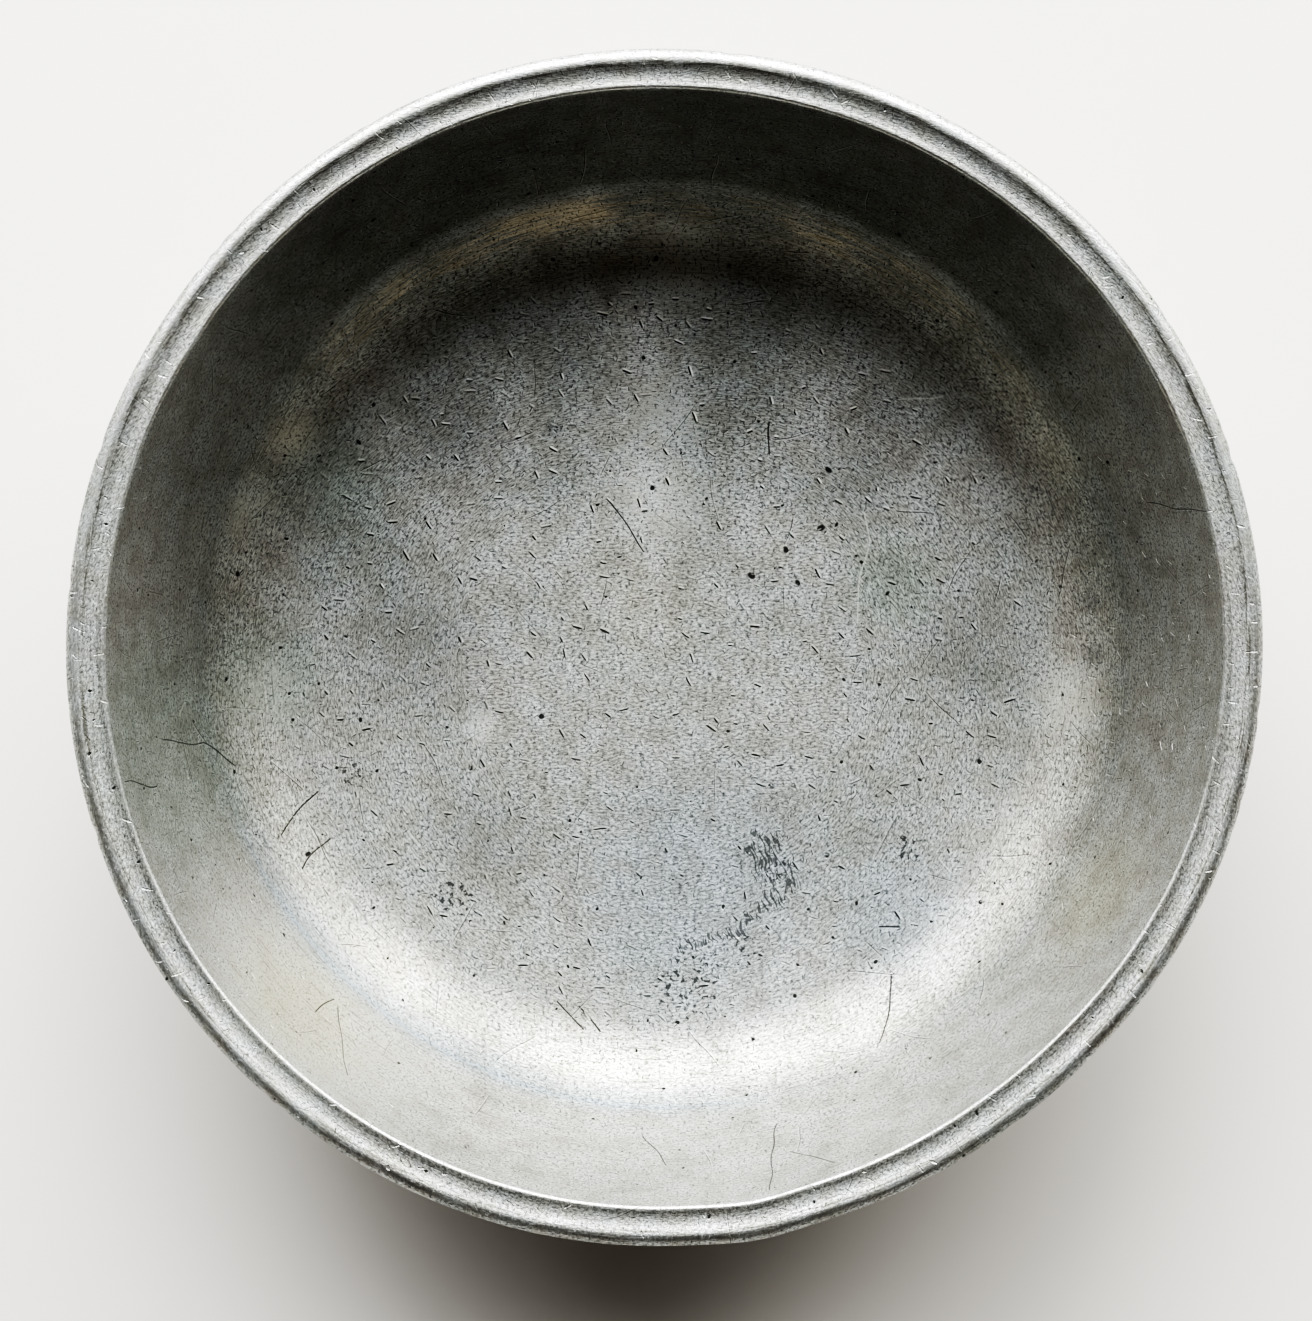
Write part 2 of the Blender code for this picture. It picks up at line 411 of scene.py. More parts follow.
def turning_tree():
    """Turns the section round the rim's circle, closes it at the axis, and puts the wear in."""
    tree = bpy.data.node_groups.new("turn_and_wear", "GeometryNodeTree")
    tree.interface.new_socket("Section", in_out="INPUT", socket_type="NodeSocketGeometry")
    for name, (kind, _) in TREE_INPUTS.items():
        tree.interface.new_socket(name, in_out="INPUT", socket_type=kind)
    tree.interface.new_socket("Basin", in_out="OUTPUT", socket_type="NodeSocketGeometry")
    given = add(tree, "NodeGroupInput").outputs
    circle = add(tree, "GeometryNodeCurvePrimitiveCircle",
                 {"Resolution": given["Cuts Round"], "Radius": given["Rim Radius"]}, mode="RADIUS")
    section = marked_section(tree, given["Section"])
    turned = add(tree, "GeometryNodeCurveToMesh", {"Curve": circle, "Profile Curve": section})
    closed = add(tree, "GeometryNodeMergeByDistance", {"Geometry": turned, "Distance": POLE_WELD})
    outwards = skin_direction(tree)
    nicks = given["Nick Count"], given["Nick Reach"], given["Nick Depth"], given["Seed"]
    moves = (out_of_round(tree, outwards, given["Out of Round"]),
             dented_floor(tree, given["Dents"]),
             hand_waviness(tree, given["Wave Length"], given["Wave Depth"], given["Seed"]),
             rim_nicks(tree, outwards, *nicks))
    moved = joined(tree, "ADD", moves, "VectorMath")
    mapped = mapped_skin(tree, closed, outwards)
    worn = add(tree, "GeometryNodeSetPosition", {"Geometry": mapped, "Offset": moved})
    smooth = add(tree, "GeometryNodeSetShadeSmooth", {"Geometry": worn})
    real = add(tree, "GeometryNodeRealizeInstances", {"Geometry": smooth})
    finished = add(tree, "GeometryNodeSetMaterial", {"Geometry": real, "Material": given["Metal"]})
    add(tree, "NodeGroupOutput", {"Basin": finished})
    return tree


def section_curve():
    """The section as a curve, with the rim's radius at its own zero, as the turning needs it."""
    outline = bpy.data.curves.new("section", "CURVE")
    outline.dimensions = "3D"
    spline = outline.splines.new("POLY")
    section = basin_section()
    spline.points.add(len(section) - 1)
    for point, (radius, height) in zip(spline.points, section):
        point.co = (radius - RIM_RADIUS, -height, 0, 1)
    return outline


def turned_basin(metal):
    """The basin as one plain mesh, made from its section by the tree."""
    blank = placed("section", section_curve())
    tree = turning_tree()
    modifier = blank.modifiers.new("turn_and_wear", "NODES")
    modifier.node_group = tree
    values = {name: value for name, (_, value) in TREE_INPUTS.items()}
    values["Metal"] = metal
    for item in tree.interface.items_tree:
        if item.in_out == "INPUT" and item.name in values:
            modifier[item.identifier] = values[item.name]
    evaluated = blank.evaluated_get(bpy.context.evaluated_depsgraph_get())
    mesh = bpy.data.meshes.new_from_object(evaluated)
    blank.modifiers.remove(modifier)
    bpy.data.objects.remove(blank)
    mesh.name = "turned_basin"
    mesh.set_sharp_from_angle(angle=SHARP_EDGE_ANGLE)
    return placed("turned_basin", mesh)


# Real sizes of the metal's patterns: width and length of a ripple in millimetres, then the noise's
# detail and roughness. The grain of worn pewter is about 0.1 mm: it is drawn 0.36 mm wide, because
# finer grain doesn't show from the camera's distance.
LATHE_LINES = (0.5, 14.0, 2.0, 0.7)
GRAIN = (0.36, 0.9, 2.0, 0.7)
WORMS = (1.5, 1.5, 1.0, 0.5)
SPECKLE = (0.55, 0.55, 1.0, 0.5)
CLOUDS = (24.0, 24.0, 2.0, 0.5)
PATCHES = (6.5, 6.5, 3.0, 0.6)
BLOTCHES = (1.0, 1.0, 2.0, 0.6)

# How far the lathe's lines fray the edges of bands, in millimetres.
LATHE_WAVER = 1.6

# Over what distance, and then how far, what is drawn wanders, both in millimetres.
BENT = (9.0, 0.9)
RAGGED = (2.2, 0.5)

# Marks strewn by a rule: spacing, half length and half width in millimetres, and a shift that gives
# each kind its own draw. The nicks also have the first way that they lie and how far that turns, in
# radians, because a knife mostly goes one way. A burr lies beside its groove, in half widths.
DASHES = (2.0, 0.55, 0.14, (31.0, 17.0, 0.0))
NICKS = (4.8, 1.2, 0.22, (3.0, 57.0, 0.0), -0.3, 1.6)
HAIRS = (13.0, 7.0, 0.12, (71.0, 5.0, 0.0))
BURR_OFFSET = -1.6

# Pits strewn by a rule: spacing, least and largest radius in millimetres, and their shift.
SMALL_PITS = (1.9, 0.10, 0.26, (11.0, 23.0, 0.0))
LARGE_PITS = (8.5, 0.16, 0.45, (41.0, 3.0, 0.0))
LARGE_PIT_SHARE = 0.42

# Ends for a part of the section that goes on to the axis, or to the outside.
AXIS, FAR_OUT = -50.0, 200.0


def rolled_at(place):
    """How far over the skin the section's point nearest to a place is, in millimetres from the axis."""
    section = basin_section()
    nearest = min(range(len(section)), key=lambda i: chord(section[i], place)[0])
    return sum(chord(a, b)[0] for a, b in zip(section[:nearest], section[1:nearest + 1])) / MM


def skin_place(pixel):
    """Where a pixel of the photograph lies on the inside, rolled out flat, in millimetres."""
    section = basin_section()
    rolled = 0.0
    gap = math.hypot(*sight(pixel, section[0][1]))
    for start, end in zip(section, section[1:]):
        seen = sight(pixel, end[1])
        left = math.hypot(*seen) - end[0]
        length = chord(start, end)[0]
        if left <= 0:
            rolled += length * gap / (gap - left)
            break
        rolled += length
        gap = left
    way = Vector((*seen, 0)).normalized()
    return way * rolled / MM


def skin_map(tree):
    """Where a point lies on the skin: rolled out flat, across and along the lathe's cut, and outside.

    All are in millimetres, but the last, which is 1 on the outside of the basin and 0 within it."""
    mapped = add(tree, "Attribute", attribute_name=UNROLLED).outputs["Vector"]
    parts = add(tree, "SeparateXYZ", (mapped,))
    level = add(tree, "VectorMath", (mapped, (1 / MM, 1 / MM, 0)), operation="MULTIPLY")
    across = add(tree, "VectorMath", (level,), operation="LENGTH")
    forwards = joined(tree, "MULTIPLY", (parts.outputs["Y"], -1.0))
    turn = joined(tree, "ARCTAN2", (parts.outputs["X"], forwards))
    along = joined(tree, "MULTIPLY", (turn, across))
    return level, across, along, parts.outputs["Z"]


def between(tree, value, low, high, soft):
    """1 where value lies between low and high, and 0 outside, with soft edges."""
    rise = add(tree, "MapRange", (value, low - soft, low + soft, 0.0, 1.0), **SOFTLY)
    fall = add(tree, "MapRange", (value, high - soft, high + soft, 1.0, 0.0), **SOFTLY)
    return joined(tree, "MULTIPLY", (rise, fall))


def section_masks(tree, across, uneven):
    """Where the parts of the turned section lie, each as a mask by name.

    across is the way over the skin from the axis, and uneven is the same with a ragged edge. Each
    mask has its two ends and the softness of its edges, in millimetres over the skin."""
    inside, bouge_top, _ = inner_section()
    floor_end = FLAT_FLOOR_RADIUS + FLOOR_EASE_RADIUS * math.sin(FLOOR_EASE_SLOPE)
    bouge_from = rolled_at((floor_end, FLOOR_THICKNESS))
    side_from = rolled_at(inside[bouge_top])
    edge = rolled_at(inner_edge())
    crest = rolled_at((RIM_RADIUS - REED_RADIUS, HEIGHT))
    foot = crest - (REED_FOOT_ANGLE - math.pi / 2) * REED_RADIUS / MM
    masks = {
        "middle": (across, AXIS, 0.55 * bouge_from, 5.0),
        "floor": (across, AXIS, bouge_from, 6.0),
        "bouge": (across, bouge_from + 3.0, side_from, 6.0),
        "side": (across, side_from + 2.0, edge - 0.8, 2.0),
        "brim": (across, edge - 0.8, FAR_OUT, 0.4),
        "inner line": (across, edge - 0.75, edge + 0.05, 0.15),
        "hollow's inner end": (uneven, edge + 0.2, edge + 1.0, 0.25),
        "hollow": (uneven, edge + 1.0, foot + 0.3, 0.6),
        "reed's foot": (uneven, foot - 0.3, foot + 0.35, 0.2),
        "crest": (across, crest - 0.3, crest + 1.0, 0.5),
        # The outer flank, whose grime is painted shade that dulls its reflection.
        "flank": (uneven, crest + 2.9, crest + 6.0, 0.3),
        # The band of the far bouge where a painted reflection gleams.
        "gleam": (uneven, side_from - 8.5, side_from - 1.0, 2.0),
        # Bands where a painted bluish reflection lies on the near bouge.
        "painted blue ring": (uneven, side_from - 6.5, side_from + 0.5, 2.4),
        "painted blue line": (uneven, side_from - 2.4, side_from - 0.6, 0.6),
    }
    return {name: between(tree, *mask) for name, mask in masks.items()}


def strewn_marks(tree, place, spacing, half_length, half_width, shift, lean=0.0, spread=2 * math.pi):
    """Straight marks strewn over the skin, each with its own direction, length and depth.

    They lie from lean to lean + spread, clockwise from the photograph's right. Gives the groove and
    the burr that was raised beside it, both from 0 to 1."""
    moved = add(tree, "VectorMath", (place, shift), operation="ADD")
    cells = add(tree, "VectorMath", {"Vector": moved, "Scale": 1 / spacing}, operation="SCALE")
    nearest = add(tree, "TexVoronoi", {"Vector": cells, "Scale": 1.0, "Randomness": 0.8},
                  voronoi_dimensions="2D")
    luck = add(tree, "SeparateColor", (nearest.outputs["Color"],))
    away = add(tree, "VectorMath", (cells, nearest.outputs["Position"]), operation="SUBTRACT")
    turn = add(tree, "Math", (luck.outputs["Red"], spread, lean), operation="MULTIPLY_ADD")
    lined_up = add(tree, "VectorRotate", {"Vector": away, "Angle": turn}, rotation_type="Z_AXIS")
    parts = add(tree, "SeparateXYZ", (lined_up,))
    longest = half_length / spacing
    reach = add(tree, "MapRange", (luck.outputs["Green"], 0.0, 1.0, 0.35 * longest, longest),
                clamp=False)
    lengthways = joined(tree, "DIVIDE", (parts.outputs["X"], reach))
    taper = joined(tree, "POWER", (lengthways, 4.0))
    there = add(tree, "MapRange", (luck.outputs["Blue"], 0.1, 0.9, 1.2, 0.0), **SOFTLY)
    sideways = joined(tree, "DIVIDE", (parts.outputs["Y"], half_width / spacing))
    marks = []
    for offset in (0.0, BURR_OFFSET):
        moved_over = joined(tree, "ADD", (sideways, offset))
        distance = add(tree, "Math", (moved_over,), operation="ABSOLUTE")
        outside = joined(tree, "ADD", (distance, taper))
        depth = add(tree, "MapRange", (outside, 0.45, 1.0, 1.0, 0.0), **SOFTLY)
        marks.append(joined(tree, "MULTIPLY", (depth, there)))
    return marks


def pits(tree, place, spacing, least, most, shift, share):
    """Small round pits, each with its own size, in a share of all cells that may follow the place."""
    moved = add(tree, "VectorMath", (place, shift), operation="ADD")
    cells = add(tree, "VectorMath", {"Vector": moved, "Scale": 1 / spacing}, operation="SCALE")
    nearest = add(tree, "TexVoronoi", {"Vector": cells, "Scale": 1.0, "Randomness": 0.9},
                  voronoi_dimensions="2D")
    luck = add(tree, "SeparateColor", (nearest.outputs["Color"],))
    size = add(tree, "MapRange",
               (luck.outputs["Green"], 0.0, 1.0, least / spacing, most / spacing), clamp=False)
    share_of = joined(tree, "DIVIDE", (nearest.outputs["Distance"], size))
    hole = add(tree, "MapRange", (share_of, 0.6, 1.15, 1.0, 0.0), **SOFTLY)
    there = joined(tree, "LESS_THAN", (luck.outputs["Blue"], share))
    return joined(tree, "MULTIPLY", (hole, there))


def scratch(tree, place, start, end, half_width):
    """One scratch from start to end, both pixels of the photograph: 1 in its middle, 0 beside it."""
    first, last = skin_place(start), skin_place(end)
    way = last - first
    away = add(tree, "VectorMath", (place, first), operation="SUBTRACT")
    measure = way / way.length_squared
    share = add(tree, "VectorMath", (away, measure), operation="DOT_PRODUCT")
    before_end = joined(tree, "MINIMUM", (share, 1.0))
    kept = joined(tree, "MAXIMUM", (before_end, 0.0))
    foot = add(tree, "VectorMath", {"Vector": way, "Scale": kept}, operation="SCALE")
    distance = add(tree, "VectorMath", (away, foot), operation="DISTANCE")
    return add(tree, "MapRange", (distance, 0.3 * half_width, half_width, 1.0, 0.0), **SOFTLY)


def stain(tree, place, pixel, radius, core, strength=1.0):
    """A soft round patch about a pixel of the photograph: full in its core, 0 past its radius."""
    centre = skin_place(pixel)
    away = add(tree, "VectorMath", (place, centre), operation="DISTANCE")
    return add(tree, "MapRange", (away, core * radius, radius, strength, 0.0), **SOFTLY)


def scratches(tree, place, ends):
    """Several scratches as one mask."""
    return joined(tree, "MAXIMUM", (scratch(tree, place, *pair, SCRATCH_HALF_WIDTH)
                                    for pair in ends.values()))


def stains(tree, place, places):
    """Several stains as one mask."""
    return joined(tree, "MAXIMUM", (stain(tree, place, *spot) for spot in places.values()))


def ripples(tree, place, width, length, detail, roughness):
    """An even field of random values about 0.5, whose ripples have this width and length."""
    counted = add(tree, "VectorMath", (place, (1 / width, 1 / length, 0)), operation="MULTIPLY")
    return add(tree, "TexNoise",
               {"Vector": counted, "Scale": 1.0, "Detail": detail, "Roughness": roughness},
               noise_dimensions="2D")


def wandering(tree, place, size, reach):
    """The place shifted a little this way and that, so that what is drawn by it isn't dead straight."""
    drift = ripples(tree, place, size, size, 0.0, 0.5)
    centred = add(tree, "VectorMath", (drift.outputs["Color"], (0.5, 0.5, 0.5)), operation="SUBTRACT")
    shift = add(tree, "VectorMath", (centred, (2 * reach, 2 * reach, 0.0)), operation="MULTIPLY")
    return add(tree, "VectorMath", (place, shift), operation="ADD")


def chatter(tree, place):
    """Short strokes side by side, as a tool that skips leaves them along each of its tracks."""
    tracked = joined(tree, "MAXIMUM", (scratch(tree, place, *track)
                                       for track in CHATTER_TRACKS.values()))
    turned = add(tree, "VectorRotate", {"Vector": place, "Angle": CHATTER_LEAN}, rotation_type="Z_AXIS")
    strokes = ripples(tree, turned, *CHATTER_STROKES)
    reached = add(tree, "Math", (tracked, 0.3, strokes), operation="MULTIPLY_ADD")
    return add(tree, "MapRange", (reached, 0.77, 0.9, 0.0, 1.0), **SOFTLY)


# Scratches that the photograph shows one by one: the pixels of their two ends.
DARK_SCRATCHES = {
    "left of the middle": ((612, 507), (644, 549)),
    "above the middle": ((772, 424), (771, 456)),
    "lower right of the floor": ((879, 926), (899, 927)),
    "over the lower right bouge": ((893, 973), (878, 1044)),
    "V on the lower floor, left": ((557, 1002), (583, 1027)),
    "V on the lower floor, right": ((580, 1006), (600, 1030)),
    "lower left bouge, upper": ((318, 790), (282, 834)),
    "lower left bouge, lower": ((329, 838), (303, 869)),
    "lower left side, long": ((338, 1006), (349, 1075)),
    "lower left side, short": ((333, 998), (315, 1013)),
    "lower side, long": ((777, 1124), (771, 1190)),
    "lower side, slanting": ((791, 1153), (838, 1166)),
    "lower side, left": ((646, 1135), (667, 1166)),
    "left side, upper": ((164, 740), (203, 743)),
    "left side, lower": ((203, 743), (234, 764)),
    "left side, at the brim": ((125, 783), (156, 785)),
    "right side": ((1145, 504), (1205, 513)),
}
# Bright scratches are partly fresh metal and partly a painted highlight, the glint that their edges
# catch.
BRIGHT_SCRATCHES = {
    "bow right of the middle, top": ((865, 514), (869, 541)),
    "bow right of the middle, foot": ((869, 541), (854, 620)),
    "upper right of the floor": ((899, 397), (942, 394)),
    "upper right, short": ((845, 393), (857, 388)),
    "bars right of the middle, upper": ((815, 551), (823, 551)),
    "bars right of the middle, lower": ((815, 560), (823, 561)),
    "tick at the lower left": ((409, 832), (420, 848)),
    "left side tick": ((180, 715), (186, 701)),
    "lower right tick": ((941, 858), (956, 874)),
    "left of the floor": ((295, 629), (320, 625)),
}
SCRATCH_HALF_WIDTH = 0.22

# Where a tool has skipped: the pixels of each track's ends, and its half width in millimetres.
CHATTER_TRACKS = {
    "hatch on the floor": ((765, 850), (782, 884), 6.2),
    "arc on the floor, right": ((782, 890), (738, 930), 2.3),
    "arc on the floor, left": ((738, 930), (682, 948), 1.8),
}
CHATTER_LEAN = math.radians(-20)
CHATTER_STROKES = (0.5, 2.8, 1.0, 0.5)

# Deep pits that the photograph shows one by one, with their radius in millimetres.
PIT_CORE = 0.55
DEEP_PITS = {
    "above the middle": ((653, 488), 0.75),
    "above the middle, left pair": ((683, 454), 0.32),
    "above the middle, right pair": ((704, 506), 0.33),
    "right of the middle, first": ((829, 471), 0.85),
    "right of the middle, second": ((820, 528), 0.85),
    "right of the middle, third": ((836, 525), 0.5),
    "right of the middle, fourth": ((785, 550), 0.7),
    "right of the middle, fifth": ((797, 583), 0.75),
    "right of the middle, sixth": ((752, 576), 0.65),
    "right of the middle, seventh": ((862, 561), 0.5),
    "beside the ring stain": ((239, 573), 0.7),
    "lower left side": ((240, 859), 0.4),
    "foot of the floor": ((676, 1023), 0.6),
    "lower right of the floor": ((832, 938), 0.42),
    "lower right bouge": ((873, 968), 0.4),
    "brim, left": ((89, 691), 0.55),
    "brim, lower left": ((89, 754), 0.45),
    "brim, foot": ((709, 1217), 0.6),
}

# Stains: place in the photograph, radius in millimetres, the share of the radius that is full, and
# for some how strong they are, where full strength is 1.
SPECKLED_STAINS = {
    "behind the hatch": ((776, 868), 6, 0.1),
    "on the lower floor": ((690, 985), 15, 0.1),
    "over the lower floor's arc": ((745, 945), 9, 0),
    "rings at the lower left": ((455, 897), 6.5, 0.35),
    "left edge of the floor": ((352, 772), 4.5, 0.3),
    "right of the lower floor": ((905, 850), 6, 0.2),
}
# The small ones are real stains; the wide ones at the floor's edges and the one on the far bouge are
# painted shade.
DARK_STAINS_AND_PAINTED_SHADE = {
    "right side, upper": ((1091, 602), 3.6, 0.1, 0.4),
    "right side, lower": ((1094, 655), 3.4, 0.1, 0.4),
    "upper bouge": ((610, 295), 3, 0.1, 0.4),
    "upper left of the floor": ((552, 428), 2.2, 0.3, 0.4),
    "painted shade, upper right of the floor": ((862, 450), 17, 0, 0.3),
    "painted shade, right of the floor": ((968, 648), 17, 0.1, 0.3),
    "painted shade, upper left of the floor": ((466, 450), 18, 0, 0.3),
    "painted shade, left of the floor": ((425, 650), 20, 0.2, 0.3),
    "right bouge": ((1062, 835), 8, 0.1, 0.2),
    "far bouge": ((549, 218), 13, 0, 0.35),
    "painted shade, lower left of the floor": ((490, 845), 17, 0.1, 0.3),
}
# A warm painted reflection on the upper left bouge, in the band of the far gleam.
GOLDEN_PAINTED_REFLECTION = ((293, 438), 7.5, 0, 0.5)
# The painted reflection gleams on the far bouge only, across from the window light.
FAR_PAINTED_GLEAM_SEEN = ((664, 190), 100, 0.4)
# Painted shade on the far side, away from the window light, over the side and the brim's hollow.
FAR_SIDE_PAINTED_SHADE_SEEN = ((664, 60), 125, 0.6)
WARM_STAINS = {
    "above the middle": ((640, 602), 20, 0, 0.12),
    "lower side": ((560, 1085), 12, 0, 0.12),
    "lower left bouge": ((385, 975), 13, 0, 0.12),
    "lower left side": ((300, 1012), 26, 0.2, 0.35),
    "lower right side": ((1100, 900), 22, 0, 0.3),
}
GREEN_STAINS = {
    "right of the middle": ((893, 580), 13, 0.2),
    "left of the middle": ((330, 480), 16, 0.1),
    "left bouge": ((262, 680), 16, 0.3),
    "left side": ((165, 760), 34, 0.4),
}
# The painted bluish reflection on the near bouge shows only about here.
PAINTED_BLUE_REFLECTION_SEEN = ((450, 1040), 75, 0.45)
PEPPER_SEEN = ((735, 440), 22, 0, 0.35)
# Bluish painted reflections on the lower floor.
PAINTED_BLUE_REFLECTIONS = {
    "lower floor": ((700, 895), 34, 0.2),
    "lower right of the floor": ((900, 915), 20, 0.2),
}
# Painted highlights: lighter patches where the floor and bouge catch the window light's reflections, the
# ding's highlight among them.
PAINTED_LIGHT_SPOTS = {
    "ding left of the middle": ((481, 722), 4.2, 0.4),
    "by the upper middle": ((655, 495), 15, 0),
    "above the upper middle": ((664, 415), 10, 0.2),
    "foot of the far bouge": ((680, 258), 12, 0.3),
    "painted light on the lower left side": ((300, 1012), 42, 0.3),
    "upper left bouge": ((293, 438), 8, 0, 1.6),
    "upper left bouge, lower": ((248, 505), 9, 0),
    "left bouge": ((262, 690), 11, 0.1, 0.5),
    "right bouge": ((1075, 700), 10, 0.2),
}

# How much the patches and the peppered place add to the specks.
SPECK_CROWDING = 0.2

# What marks, stains, grime and painted light and shade make of the metal: the tone there, where plain
# metal is 1, and the roughness.
GROOVE_TONE, GROOVE_ROUGHNESS = 0.1, 0.8
# Burrs and bright cuts are lightened partly as fresh metal and partly as a painted glint.
BURR_AND_GLINT_TONE, BURR_ROUGHNESS = 2.5, 0.4
RUBBED_TONE, RUBBED_ROUGHNESS = 1.6, 0.42
WORM_TONE = 0.3
# How much the painted highlights lighten the metal.
PAINTED_LIGHT_TONE = 1.8
# How dark the stains and the painted shade make the metal.
STAIN_AND_SHADE_TONE = 0.25
# How dark the far side's painted shade makes the metal.
FAR_SIDE_SHADE_TONE = 0.52
# A painted reflection lightens the far bouge's streaks, and painted shade darkens the bouge between
# them.
PAINTED_GLEAM_TONE = 2.0
PAINTED_SHADE_BETWEEN_GLEAMS_TONE = 0.4
# Grime in the brim's hollow and at the reed's foot is partly painted shade in these creases; on the
# flank it is painted shade.
GRIME_AND_SHADE_TONE = 0.3
SIDE_ROUGHNESS, FLOOR_ROUGHNESS, BRIM_ROUGHNESS = 0.56, 0.60, 0.52

# How high the lathe's lines and the grain stand, and how deep the cuts go, in millimetres.
LATHE_RELIEF, GRAIN_RELIEF, CUT_DEPTH = 0.012, 0.045, 0.12


def layered(tree, value, layers):
    """A value with layers over it: each a mask, or the factors of one, and what it brings."""
    for mask, layer in layers:
        share = joined(tree, "MULTIPLY", mask) if isinstance(mask, tuple) else mask
        value = add(tree, "Mix", (share, value, layer), data_type="FLOAT")
    return value


def tinted(tree, colour, tint, mask, strength):
    """The colour taken towards a tint where the mask is 1, by the given strength."""
    share = joined(tree, "MULTIPLY", (mask, strength))
    return add(tree, "Mix", (share, colour, linear(tint)), data_type="RGBA")


def brushed_way(tree, skin, cut):
    """The way that the grain runs: scoured across the middle of the floor, with the cut elsewhere."""
    sides = add(tree, "SeparateXYZ", (skin.place,))
    scoured = add(tree, "CombineXYZ", (sides.outputs["Y"], sides.outputs["X"], 0.0))
    flat = joined(tree, "GREATER_THAN", (skin.part["middle"], 0.5))
    return add(tree, "Mix", (flat, cut, scoured), data_type="VECTOR")


def skin_fields(tree):
    """What the metal is drawn by, each by name: places, masks of the parts, and random fields."""
    skin = SimpleNamespace()
    skin.place, across, along, outside = skin_map(tree)
    skin.within = joined(tree, "SUBTRACT", (1.0, outside))
    skin.bent = wandering(tree, skin.place, *BENT)
    skin.ragged = wandering(tree, skin.place, *RAGGED)
    cut = add(tree, "CombineXYZ", (across, along, 0.0))
    skin.lathe = ripples(tree, cut, *LATHE_LINES)
    waver = joined(tree, "SUBTRACT", (skin.lathe, 0.5))
    uneven = add(tree, "Math", (waver, LATHE_WAVER, across), operation="MULTIPLY_ADD")
    skin.part = section_masks(tree, across, uneven)
    skin.grain = ripples(tree, brushed_way(tree, skin, cut), *GRAIN)
    skin.worms = ripples(tree, skin.place, *WORMS)
    skin.speckle = ripples(tree, skin.place, *SPECKLE)
    skin.clouds = ripples(tree, skin.place, *CLOUDS)
    skin.patches = ripples(tree, skin.ragged, *PATCHES)
    return skin


def specks_and_blotches(tree, skin):
    """Fine dark specks that crowd together in patches, and the blotches of the speckled stains."""
    patchy = add(tree, "MapRange", (skin.patches, 0.4, 0.7, 0.0, 0.35))
    crowd = joined(tree, "MAXIMUM", (patchy, stain(tree, skin.ragged, *PEPPER_SEEN)))
    crowded = add(tree, "Math", (crowd, SPECK_CROWDING, skin.speckle), operation="MULTIPLY_ADD")
    specks = add(tree, "MapRange", (crowded, 0.63, 0.73, 0.0, 1.0))
    blotches = ripples(tree, skin.ragged, *BLOTCHES)
    stained = add(tree, "Math", (stains(tree, skin.ragged, SPECKLED_STAINS), 0.3, blotches),
                  operation="MULTIPLY_ADD")
    return specks, add(tree, "MapRange", (stained, 0.84, 0.9, 0.0, 0.9))


def wear_marks(tree, skin):
    """Cuts, nicks, pits and specks as masks: the dark ones, the bright ones, and the sunken ones."""
    dashes, dash_burrs = strewn_marks(tree, skin.bent, *DASHES)
    nicks, nick_burrs = strewn_marks(tree, skin.bent, *NICKS)
    used = add(tree, "MapRange", (skin.part["floor"], 0.0, 1.0, 0.12, 1.0))
    hairs, hair_burrs = strewn_marks(tree, skin.bent, *HAIRS)
    skipped = chatter(tree, skin.ragged)
    pit_share = add(tree, "MapRange", (skin.patches, 0.35, 0.65, 0.02, 0.5))
    small_pits = pits(tree, skin.ragged, *SMALL_PITS, pit_share)
    large_pits = pits(tree, skin.ragged, *LARGE_PITS, LARGE_PIT_SHARE)
    deep = joined(tree, "MAXIMUM", (stain(tree, skin.ragged, *pit, PIT_CORE)
                                    for pit in DEEP_PITS.values()))
    dark_cuts = scratches(tree, skin.bent, DARK_SCRATCHES)
    bright_cuts = scratches(tree, skin.bent, BRIGHT_SCRATCHES)
    specks, blotted = specks_and_blotches(tree, skin)
    off_floor = joined(tree, "SUBTRACT", (1.0, skin.part["floor"]))
    scored = add(tree, "MapRange", (skin.lathe, 0.6, 0.72, 0.0, 0.6))
    shown = joined(tree, "MAXIMUM", ((dark_cuts, 0.9), (skipped, 0.8), deep))
    dark = joined(tree, "MAXIMUM", ((shown, skin.within), large_pits, blotted, (specks, 0.6),
                                    (small_pits, 0.75), (dashes, 0.7), (nicks, used), (hairs, 0.7),
                                    (scored, off_floor)))
    # The bright marks are burrs and fresh cuts, partly with a painted glint.
    bright = joined(tree, "MAXIMUM", ((bright_cuts, skin.within, 0.35), (nick_burrs, used, 0.7),
                                      (dash_burrs, 0.25), (hair_burrs, 0.2)))
    return dark, bright, joined(tree, "MAXIMUM", (nicks, large_pits, (shown, 0.8)))


